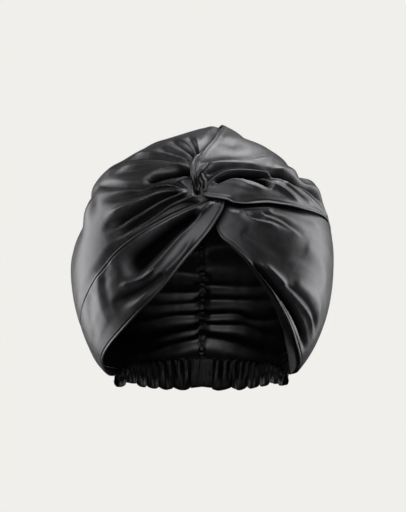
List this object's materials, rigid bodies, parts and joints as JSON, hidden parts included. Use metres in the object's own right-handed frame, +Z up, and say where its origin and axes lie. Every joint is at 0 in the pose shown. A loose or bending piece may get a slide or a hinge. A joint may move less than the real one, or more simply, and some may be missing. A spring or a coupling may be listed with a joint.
{
  "type": "turban headwrap",
  "caption": "Twist-front turban headwrap in black satin: a gathered crown, a wrapped band over each temple, a ruched back and a gathered elastic casing at the nape",
  "frame": {"origin": "the middle of the head-girth ring, inside the hollow for the head, where the wrap is held up as worn", "axes": "+Z up as worn, the front of the wrap faces -Y, +X is to the right seen from the front"},
  "size_m": [0.2348, 0.2369, 0.2605],
  "materials": {
    "satin": "black satin with a soft sheen, roughness about 0.34",
    "seam_strip": "black satin, puckered along its stitching",
    "casing": "black satin gathered over elastic, roughness about 0.4"
  },
  "bodies": {
    "root": {"crown_left": "satin", "crown_right": "satin", "band_left": "satin", "band_right_upper": "satin", "band_right_lower": "satin", "facing_right": "satin", "twist_tuck": "satin", "twist_knot": "satin", "twist_loop": "satin", "back_seam": "seam_strip", "nape_band_left": "casing", "nape_band_right": "casing", "nape_tab": "casing"}
  },
  "joints": []
}
